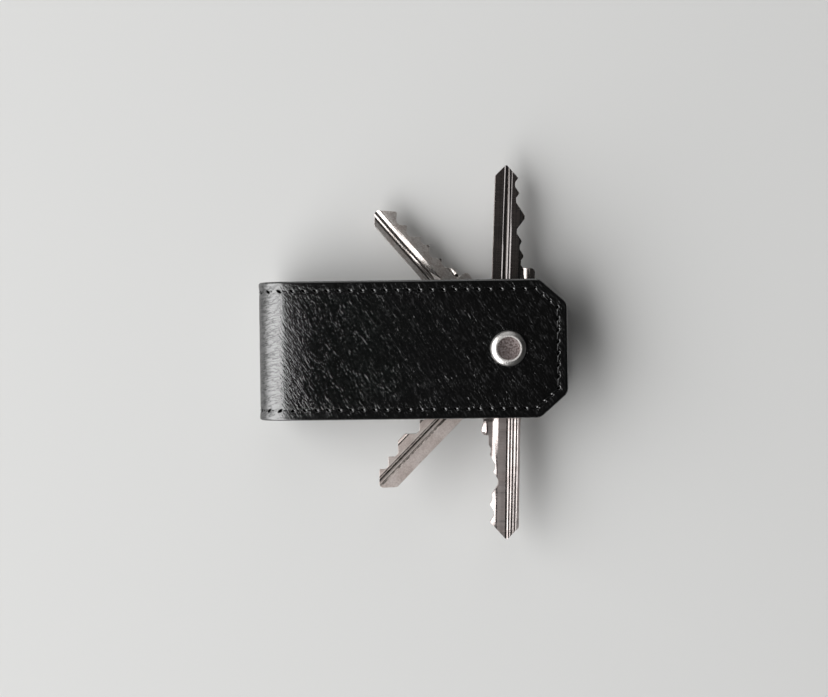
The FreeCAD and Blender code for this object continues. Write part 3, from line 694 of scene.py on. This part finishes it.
def stitch_ends():
    """The two pricked holes of every stitch, on the flat strip."""
    ends = []
    for start, end, _, count in SEAM_RUNS:
        holes = [start.lerp(end, i / count) for i in range(count + 1)]
        ends += list(zip(holes, holes[1:]))
    return ends


def stitches_before(u, y):
    """How many stitches along the seam a point lies, with whole numbers at the pricked holes."""
    point = Vector((u, y))
    found = []
    for start, end, before, count in SEAM_RUNS:
        along = end - start
        share = (point - start).dot(along) / along.length_squared
        nearest = start.lerp(end, max(0, min(1, share)))
        found.append(((point - nearest).length, before + share * count))
    return min(found)[1]


def bell(distance, width):
    return math.exp(-((distance / width) ** 2))


def smooth_share(value, low, high):
    share = max(0.0, min(1.0, (value - low) / (high - low)))
    return share * share * (3 - 2 * share)


def seam_relief(u, y, depth):
    """How far the seam draws a face of the leather in."""
    return depth * bell(inset(u, y) - SEAM_MARGIN, CHANNEL_WIDTH)


def rim_relief(u, y, rim):
    """How far the rounded rim falls away from a face."""
    short = max(0.0, min(rim, rim - inset(u, y)))
    return rim - math.sqrt(rim * rim - short * short)


def bend_share(u):
    """1 on the fold, and 0 on the panels."""
    return 1 - smooth_share(abs(u), FOLD_HALF * BEND_START, FOLD_HALF * BEND_END)


def cover_face(u, y):
    """The radius of the cover's outer face."""
    swell = SWELL_HEIGHT * noise.noise(Vector((u, y, 0)) / SWELL_LENGTH)
    flare = MARGIN_FLARE * bend_share(u) * (1 - smooth_share(inset(u, y), FLARE_START, SEAM_MARGIN))
    from_post = (Vector((abs(u), y)) - Vector((POST_U, 0))).length
    head_print = HEAD_PRINT_DEPTH * (1 - smooth_share(from_post, POST_HOLE_RADIUS, HEAD_PRINT_RADIUS))
    relief = seam_relief(u, y, COVER_CHANNEL_DEPTH) + rim_relief(u, y, COVER_RIM)
    return OUTER_RADIUS + swell + flare - head_print - relief


def seam_face(u, y):
    """The radius where the cover and the lining meet."""
    return SEAM_RADIUS


def lining_face(u, y):
    """The radius of the lining's inner face."""
    relief = seam_relief(u, y, LINING_CHANNEL_DEPTH) + rim_relief(u, y, LINING_RIM)
    return INNER_RADIUS + relief


def flat_strip(columns, rows):
    """A grid over the flat strip, with a round hole for the post in each panel."""
    bm = bmesh.new()
    bmesh.ops.create_grid(bm, x_segments=len(columns) - 1, y_segments=len(rows) - 1, size=1)
    for vert in bm.verts:
        u = columns[round((vert.co.x + 1) / 2 * (len(columns) - 1))]
        y = rows[round((vert.co.y + 1) / 2 * (len(rows) - 1))] / HALF_WIDTH * half_width(u)
        vert.co = (u, y, 0)
    for sign in (1, -1):
        centre = Vector((sign * POST_U, 0, 0))
        within = [
            face for face in bm.faces
            if (face.calc_center_median() - centre).length < POST_HOLE_RADIUS
        ]
        ring = {vert for face in within for vert in face.verts}
        bmesh.ops.delete(bm, geom=within, context="FACES")
        for vert in ring:
            if vert.is_valid:
                vert.co = centre + (vert.co - centre).normalized() * POST_HOLE_RADIUS
    return bm


def folded_layer(columns, rows, outer_face, inner_face, rim):
    """A layer of the case: the flat strip made thick, folded, and mapped by its flat places."""
    bm = flat_strip(columns, rows)
    uv = bm.loops.layers.uv.new("strip")
    rim_layer = bm.verts.layers.float.new("rim")
    bend_layer = bm.verts.layers.float.new("bend")
    ease_layer = bm.verts.layers.float.new("ease")
    seam_layer = bm.verts.layers.float.new("seam")
    stitch_layer = bm.verts.layers.float.new("stitch")
    flat = bm.verts.layers.float_vector.new("flat")
    for vert in bm.verts:
        vert[flat] = vert.co
    made = bmesh.ops.extrude_face_region(bm, geom=bm.faces[:])
    tops = {item for item in made["geom"] if isinstance(item, bmesh.types.BMVert)}
    for vert in bm.verts:
        u, y = vert[flat].xy
        radius = outer_face(u, y) if vert in tops else inner_face(u, y)
        vert.co = fold_over(u, y, radius)
        vert[rim_layer] = 1 - smooth_share(inset(u, y), rim * 0.5, rim * 2)
        vert[bend_layer] = bend_share(u)
        vert[ease_layer] = min(1, slope(u) / EASE_ANGLE)
        vert[seam_layer] = inset(u, y) - SEAM_MARGIN
        vert[stitch_layer] = stitches_before(u, y)
    for face in bm.faces:
        for loop in face.loops:
            loop[uv].uv = loop.vert[flat].xy
    bmesh.ops.recalc_face_normals(bm, faces=bm.faces[:])
    bmesh.ops.scale(bm, vec=(MM,) * 3, verts=bm.verts[:])
    bm.verts.layers.float_vector.remove(flat)
    return bm


def make_cover():
    """The outer strip of grained leather."""
    columns = stations([0, FOLD_HALF, STRIP_HALF - EDGE_BAND], COVER_COLUMN_STEPS, STRIP_HALF, COVER_RIM)
    rows = stations([0, HALF_WIDTH - EDGE_BAND], COVER_ROW_STEPS, HALF_WIDTH, COVER_RIM)
    bm = folded_layer(columns, rows, cover_face, seam_face, COVER_RIM)
    finish_piece("grained_cover", bm, grained_leather(), "case", "cover_leather", "outer_cover")


def make_lining():
    """The lining that the cover is sewn to."""
    columns = stations([0, FOLD_HALF, STRIP_HALF - EDGE_BAND], LINING_COLUMN_STEPS, STRIP_HALF, LINING_RIM)
    rows = stations([0, HALF_WIDTH - EDGE_BAND], LINING_ROW_STEPS, HALF_WIDTH, LINING_RIM)
    bm = folded_layer(columns, rows, seam_face, lining_face, LINING_RIM)
    finish_piece("smooth_lining", bm, smooth_leather(), "case", "lining_leather", "inner_lining")


def one_stitch():
    """A stitch along X with its holes half a pitch to each side, its thread rising out of them."""
    bm = bmesh.new()
    bmesh.ops.create_grid(bm, x_segments=STITCH_SEGMENTS, y_segments=THREAD_SIDES, size=1)
    uv = bm.loops.layers.uv.new("twist")
    for face in bm.faces:
        for loop in face.loops:
            loop[uv].uv = loop.vert.co.xy
    for vert in bm.verts:
        along, around = vert.co.x, vert.co.y * math.pi
        girth = math.sqrt(max(0, 1 - abs(along) ** THREAD_BLUNTNESS))
        plunge = THREAD_PLUNGE * abs(along) ** PLUNGE_SHARPNESS
        rise = THREAD_PROUD - THREAD_HEIGHT / 2 - plunge - THREAD_LEAN * along
        vert.co = (
            along * STITCH_PITCH / 2,
            -along * STITCH_TILT + girth * THREAD_WIDTH / 2 * math.cos(around),
            rise + girth * THREAD_HEIGHT / 2 * math.sin(around),
        )
    bmesh.ops.remove_doubles(bm, verts=bm.verts[:], dist=THREAD_WIDTH / 1000)
    bmesh.ops.recalc_face_normals(bm, faces=bm.faces[:])
    mesh = bpy.data.meshes.new("one_stitch")
    bm.to_mesh(mesh)
    bm.free()
    return mesh


def stitch_place(start, end, radius, sign):
    """Where a stitch lies on a face at a radius: outside if the sign is 1, and inside if it is -1."""
    ends = [fold_over(point.x, point.y, radius) for point in (start, end)]
    first, last = sorted(ends, key=lambda place: place.x)
    along = (last - first).normalized()
    out = out_of((start.x + end.x) / 2) * sign
    across = out.cross(along).normalized()
    up = along.cross(across)
    turn = Matrix((along, across, up)).transposed().to_4x4()
    return Matrix.Translation((first + last) / 2) @ turn


def make_stitches(name, node, radius, sign):
    """One thread of the seam: its stitches round both panels and the fold."""
    bm = bmesh.new()
    template = one_stitch()
    for start, end in stitch_ends():
        before = len(bm.verts)
        bm.from_mesh(template)
        bm.verts.ensure_lookup_table()
        place = stitch_place(start, end, radius, sign)
        bmesh.ops.transform(bm, matrix=place, verts=bm.verts[before:])
    bmesh.ops.scale(bm, vec=(MM,) * 3, verts=bm.verts[:])
    bpy.data.meshes.remove(template)
    finish_piece(name, bm, waxed_thread(), "case", "seam_thread", node)


def even_shading(piece):
    """Keep flat faces flat where small round edges meet them."""
    weighted = piece.modifiers.new("even_shading", "WEIGHTED_NORMAL")
    weighted.mode = "FACE_AREA"
    weighted.keep_sharp = True


def stands_up(edge):
    first, last = (vert.co for vert in edge.verts)
    return abs(last.z - first.z) > UPRIGHT_SHARE * (last - first).length


def is_any(edge):
    return True


def soften(bm, width, segments, least_angle, wanted=is_any):
    """Round the wanted edges where faces meet at more than an angle, in degrees."""
    edges = [
        edge for edge in bm.edges
        if edge.is_manifold and edge.calc_face_angle() > math.radians(least_angle) and wanted(edge)
    ]
    bmesh.ops.bevel(
        bm, geom=edges, offset=width, offset_type="OFFSET", segments=segments, profile=0.5,
        affect="EDGES", material=-1, clamp_overlap=True,
    )


def turned(outline, edge_width):
    """A body turned about the post's axis, from an outline of radius and height in millimetres."""
    bm = bmesh.new()
    verts = [bm.verts.new((radius, 0, height)) for radius, height in outline]
    edges = [bm.edges.new(pair) for pair in zip(verts, verts[1:])]
    bmesh.ops.spin(
        bm, geom=verts + edges, axis=(0, 0, 1), cent=(0, 0, 0), angle=math.tau,
        steps=TURN_STEPS, use_merge=True,
    )
    bmesh.ops.remove_doubles(bm, verts=bm.verts[:], dist=edge_width / 100)
    bmesh.ops.recalc_face_normals(bm, faces=bm.faces[:])
    soften(bm, edge_width, ROUND_SEGMENTS, TURNED_ANGLE)
    bmesh.ops.translate(bm, vec=POST, verts=bm.verts[:])
    bmesh.ops.scale(bm, vec=(MM,) * 3, verts=bm.verts[:])
    return bm


def make_post(nickel):
    """The post's hollow half with its turned head."""
    base, top = FRONT_FACE_Z, barrel_high.z
    bore_top = barrel_low.z + (top - barrel_low.z) * BORE_TOP_SHARE
    outline = [
        (0, top - HEAD_FACE_RECESS),
        (HEAD_FACE_RADIUS, top - HEAD_FACE_RECESS),
        (HEAD_LIP_RADIUS, top),
        (HEAD_SHOULDER_RADIUS, top - HEAD_LIP_DROP),
        (HEAD_CROWN_RADIUS, top - HEAD_CROWN_DROP),
        (HEAD_RADIUS, base + HEAD_RIM_HEIGHT),
        (HEAD_RADIUS, base),
        (POST_RADIUS, base),
        (POST_RADIUS, barrel_low.z),
        (BORE_RADIUS, barrel_low.z),
        (BORE_RADIUS, bore_top),
        (0, bore_top + BORE_RADIUS / 2),
    ]
    bm = turned(outline, TURNED_EDGE)
    post = finish_piece("turned_post", bm, nickel, "case", "post_nickel", "post_barrel")
    even_shading(post)


def make_washers():
    """The washers between the keys and the lining."""
    nylon = moulded_nylon()
    for node in sorted(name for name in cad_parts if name.startswith("washer_")):
        low, high = box_in_mm(node)
        outer = (high.x - low.x) / 2
        ring = [(POST_HOLE_RADIUS, low.z), (outer, low.z), (outer, high.z), (POST_HOLE_RADIUS, high.z)]
        bm = turned(ring + ring[:1], WASHER_EDGE)
        washer = finish_piece(f"nylon_{node}", bm, nylon, "case", "washer_nylon", node)
        even_shading(washer)


def crisp_copy(node):
    """A CAD node's shape with its loose triangles joined into whole faces."""
    bm = bmesh.new()
    bm.from_mesh(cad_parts[node].data)
    bmesh.ops.remove_doubles(bm, verts=bm.verts[:], dist=WELD * MM)
    bmesh.ops.dissolve_limit(bm, angle_limit=math.radians(FLAT_ANGLE), verts=bm.verts[:], edges=bm.edges[:])
    return bm


def make_screw(nickel):
    """The post's screw, with its slotted head on the back."""
    bm = crisp_copy("post_screw")
    soften(bm, KEY_EDGE * MM, EDGE_SEGMENTS, SCREW_ANGLE)
    screw = finish_piece("slotted_screw", bm, nickel, "case", "post_nickel", "post_screw")
    even_shading(screw)


def key_ways(node):
    """The directions along a key from its post, and across it towards its spine."""
    angle = math.radians(KEYS[node].angle)
    return Vector((math.cos(angle), math.sin(angle), 0)), Vector((-math.sin(angle), math.cos(angle), 0))


def key_place(node, place):
    """How far a place lies along a key from its post, and across it, in millimetres."""
    from_post = place / MM - POST
    way, side = key_ways(node)
    return from_post.dot(way), from_post.dot(side)


def mark_facets(bm):
    """Keep a key's milled facets flat, and note which are flanks and which of those are groove walls."""
    flank = bm.faces.layers.float.new("flank")
    groove = bm.faces.layers.float.new("groove")
    for face in bm.faces:
        length = max(edge.calc_length() for edge in face.edges)
        face[flank] = 1.0 if FLANK_LEAST < abs(face.normal.z) < FLANK_MOST else 0.0
        face[groove] = face[flank] if face.calc_area() < GROOVE_WALL * MM * length else 0.0
    for edge in bm.edges:
        lies = all(abs(face.normal.z) > FLANK_LEAST for face in edge.link_faces)
        if lies and edge.is_manifold and edge.calc_face_angle() > math.radians(FACET_ANGLE):
            edge.smooth = False


def is_level(face, height):
    """Whether a face lies in the level front of a key, at a height in metres."""
    return all(vert.co.z > height - KEY_EDGE / 10 * MM for vert in face.verts)


def split_front(bm, node):
    """Split the level front of a key along lines across and along it."""
    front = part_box(node)[1].z
    way, side = key_ways(node)
    splits = FRONT_SPLITS[node]
    lines = [(way, reach) for reach in splits["reach"]] + [(side, aside) for aside in splits["aside"]]
    for direction, distance in lines:
        level = [face for face in bm.faces if is_level(face, front)]
        parts = dict.fromkeys(part for face in level for part in (face, *face.edges, *face.verts))
        bmesh.ops.bisect_plane(
            bm, geom=list(parts), dist=KEY_EDGE / 3 * MM,
            plane_co=(POST + direction * distance) * MM, plane_no=direction,
        )


def sink_strip(bm, node):
    """Lower the strip along the edge of a key's shoulder to the milled level beside its ramp."""
    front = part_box(node)[1].z
    strip = SUNK_STRIPS[node]
    nearest, farthest = strip["reach"]
    outer, inner = strip["aside"]
    for vert in bm.verts:
        reach, aside = key_place(node, vert.co)
        within = nearest < reach < farthest and outer < aside < inner
        if within and vert.co.z > front - KEY_EDGE * MM:
            vert.co.z = front - strip["depth"] * MM
    bm.normal_update()


def add_ramp(bm, node):
    """The slope that the cutter leaves on the front of a key's shoulder."""
    front = Vector((0, 0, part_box(node)[1].z / MM))
    way, side = key_ways(node)
    rings = []
    for reach, section in SHOULDER_RAMPS[node]:
        middle = POST + way * reach + front
        places = [middle + side * aside - Vector((0, 0, drop)) for aside, drop in section]
        rings.append([bm.verts.new(place * MM) for place in places])
    faces = [bm.faces.new(rings[0]), bm.faces.new(rings[-1])]
    for first, last in zip(rings, rings[1:]):
        for index in range(len(first)):
            faces.append(bm.faces.new((first[index - 1], first[index], last[index], last[index - 1])))
    bmesh.ops.recalc_face_normals(bm, faces=faces)


def make_keys():
    """The four keys, with the milling of their shoulders and with broken edges."""
    for node in KEYS:
        bm = crisp_copy(node)
        if node in FRONT_SPLITS:
            split_front(bm, node)
        if node in SUNK_STRIPS:
            sink_strip(bm, node)
        if node in SHOULDER_RAMPS:
            add_ramp(bm, node)
        mark_facets(bm)
        soften(bm, KEY_CORNER * MM, ROUND_SEGMENTS, CORNER_ANGLE, stands_up)
        bmesh.ops.dissolve_degenerate(bm, dist=KEY_EDGE * MM / 2, edges=bm.edges[:])
        soften(bm, KEY_EDGE * MM, EDGE_SEGMENTS, RIM_ANGLE)
        key = finish_piece(f"cut_{node}", bm, key_metal(node), node, "key_nickel", node)
        even_shading(key)


def make_floor():
    """The plain pale floor."""
    finish = Finish("pale_floor")
    material = finish.surface(Base_Color=colour(FLOOR_COLOUR), Roughness=FLOOR_ROUGHNESS)
    bm = bmesh.new()
    bmesh.ops.create_grid(bm, x_segments=1, y_segments=1, size=FLOOR_SIZE)
    mesh = bpy.data.meshes.new("floor")
    bm.to_mesh(mesh)
    bm.free()
    mesh.materials.append(material)
    floor = bpy.data.objects.new("floor", mesh)
    bpy.context.scene.collection.objects.link(floor)


def add_softbox(name, place, width, height, radiance):
    """A soft lamp that faces the case, by where it stands, its size in metres and its brightness."""
    lamp = bpy.data.lights.new(name, "AREA")
    lamp.shape = "RECTANGLE"
    lamp.size = width
    lamp.size_y = height
    lamp.energy = radiance * math.pi * width * height
    softbox = bpy.data.objects.new(name, lamp)
    softbox.location = place
    softbox.rotation_euler = (-Vector(place)).to_track_quat("-Z", "Y").to_euler()
    bpy.context.scene.collection.objects.link(softbox)


def light_scene():
    """A softbox on the left, a weaker one at the top, and a dim room."""
    for name, softbox in SOFTBOXES.items():
        add_softbox(name, **softbox)
    world = bpy.data.worlds.new("room")
    world.use_nodes = True
    background = world.node_tree.nodes["Background"]
    background.inputs["Color"].default_value = colour(ROOM_COLOUR)
    bpy.context.scene.world = world
    bpy.context.scene.view_settings.view_transform = "Standard"


def place_camera():
    """A camera straight above the case, as in the photograph."""
    data = bpy.data.cameras.new("camera")
    data.lens = CAMERA_LENS
    data.sensor_width = CAMERA_SENSOR
    camera = bpy.data.objects.new("camera", data)
    camera.location = Vector(CAMERA_PLACE) * MM
    camera.rotation_euler = (0, 0, math.radians(CAMERA_TURN))
    bpy.context.scene.collection.objects.link(camera)
    bpy.context.scene.camera = camera


place_camera()
make_floor()
light_scene()
make_cover()
make_lining()
make_stitches("outer_stitches", "needle_thread", OUTER_RADIUS, 1)
make_stitches("inner_stitches", "bobbin_thread", INNER_RADIUS, -1)
post_nickel = turned_nickel()
make_post(post_nickel)
make_screw(post_nickel)
make_washers()
make_keys()
